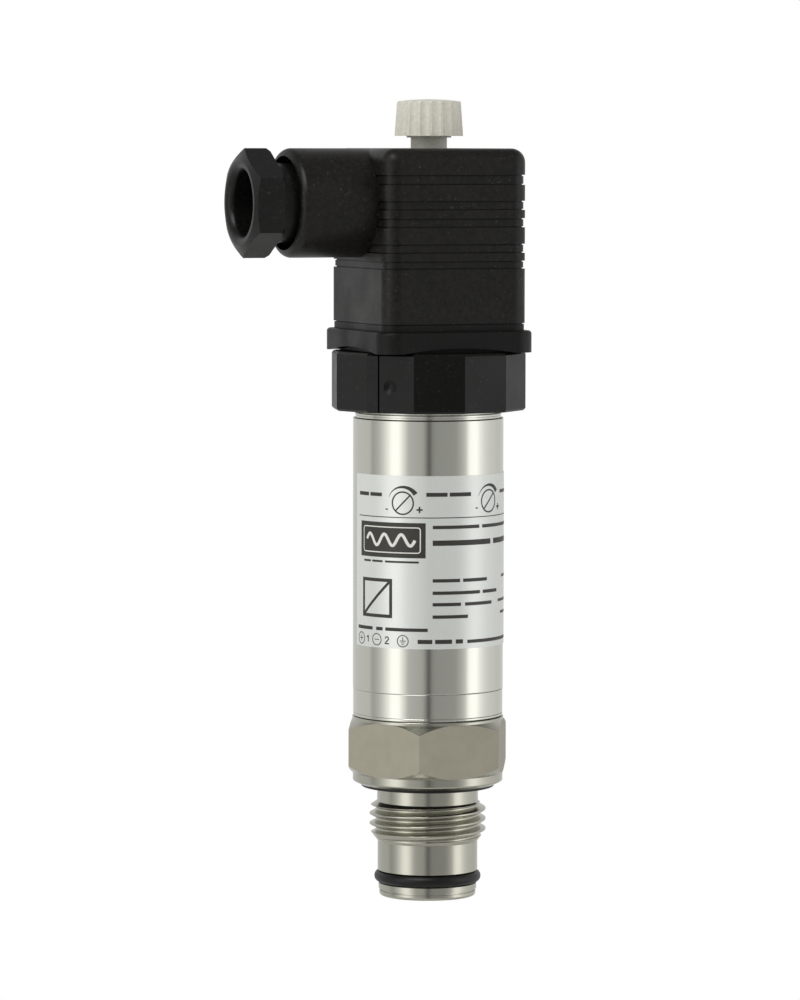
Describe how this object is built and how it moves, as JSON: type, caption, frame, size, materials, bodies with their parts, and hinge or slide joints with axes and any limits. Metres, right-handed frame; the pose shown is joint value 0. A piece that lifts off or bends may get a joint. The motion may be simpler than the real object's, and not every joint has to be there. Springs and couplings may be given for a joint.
{
  "type": "pressure sensor",
  "caption": "Compact stainless pressure transmitter with a front-flush threaded process connection, hexagon, labelled tube housing and a black square plug with side cable gland.",
  "frame": {"origin": "on the main axis, in the plane of the collar's sealing face", "axes": "+Z along the axis up to the plug, -X along the cable gland, -Y towards the plug's front face"},
  "size_m": [0.0538, 0.0352, 0.1433],
  "materials": {
    "steel": "satin",
    "foil_steel": "satin",
    "black_plastic": "satin",
    "grey_plastic": "matt",
    "seal_rubber": "matt",
    "gasket_rubber": "matt",
    "label_foil": "satin",
    "block_plastic": "matt",
    "board_laminate": "satin",
    "chip_resin": "matt",
    "capacitor_ceramic": "satin",
    "ribbon_film": "gloss",
    "lead_insulation": "satin",
    "rotor_plastic": "satin",
    "cell_steel": "satin",
    "tinned_brass": "satin",
    "insert_brass": "satin"
  },
  "bodies": {
    "transmitter": {"board_carrier": "block_plastic", "cap_o_ring": "seal_rubber", "cell_clamp_ring": "foil_steel", "cell_o_ring": "seal_rubber", "cell_ribbon": "ribbon_film", "connector_base": "black_plastic", "contact_blades": "tinned_brass", "diaphragm": "foil_steel", "earth_blade": "tinned_brass", "filter_capacitors": "capacitor_ceramic", "housing_tube": "steel", "inner_leads": "lead_insulation", "label": "label_foil", "output_driver": "chip_resin", "polygon_ring": "black_plastic", "process_body": "steel", "processor_chip": "chip_resin", "profile_gasket": "gasket_rubber", "screw_insert": "insert_brass", "seat_ring": "seal_rubber", "sensor_cell": "cell_steel", "signal_board": "board_laminate", "span_trimmer": "block_plastic", "tip_o_ring": "seal_rubber", "trimmer_board": "board_laminate", "tube_cap": "steel", "weld_ring": "steel", "zero_trimmer": "block_plastic"},
    "plug": {"plug_housing": "black_plastic", "terminal_block": "block_plastic", "receptacle_clips": "tinned_brass", "terminal_screws": "tinned_brass", "screw_seal": "seal_rubber", "gland_washer": "foil_steel", "gland_grommet": "seal_rubber"},
    "plug_screw": {"central_screw": "foil_steel", "knob": "grey_plastic"},
    "cable_nut": {"gland_nut": "black_plastic"},
    "zero_adjuster": {"zero_rotor": "rotor_plastic"},
    "span_adjuster": {"span_rotor": "rotor_plastic"}
  },
  "joints": [
    {"name": "plug_pull", "type": "slide", "parent": "transmitter", "child": "plug", "axis": [0, 0, 1], "range_m": [0, 0.02]},
    {"name": "plug_screw_turn", "type": "hinge", "parent": "plug", "child": "plug_screw", "pos_m": [0, 0, 0.1142], "axis": [0, 0, 1], "continuous": true},
    {"name": "gland_nut_turn", "type": "hinge", "parent": "plug", "child": "cable_nut", "pos_m": [-0.0339, 0, 0.1045], "axis": [-1, 0, 0], "continuous": true},
    {"name": "zero_turn", "type": "hinge", "parent": "transmitter", "child": "zero_adjuster", "pos_m": [-0.0049, 0.0049, 0.07325], "axis": [0, 0, 1], "range_deg": [-135, 135]},
    {"name": "span_turn", "type": "hinge", "parent": "transmitter", "child": "span_adjuster", "pos_m": [0.0049, 0.0049, 0.07325], "axis": [0, 0, 1], "range_deg": [-135, 135]}
  ]
}
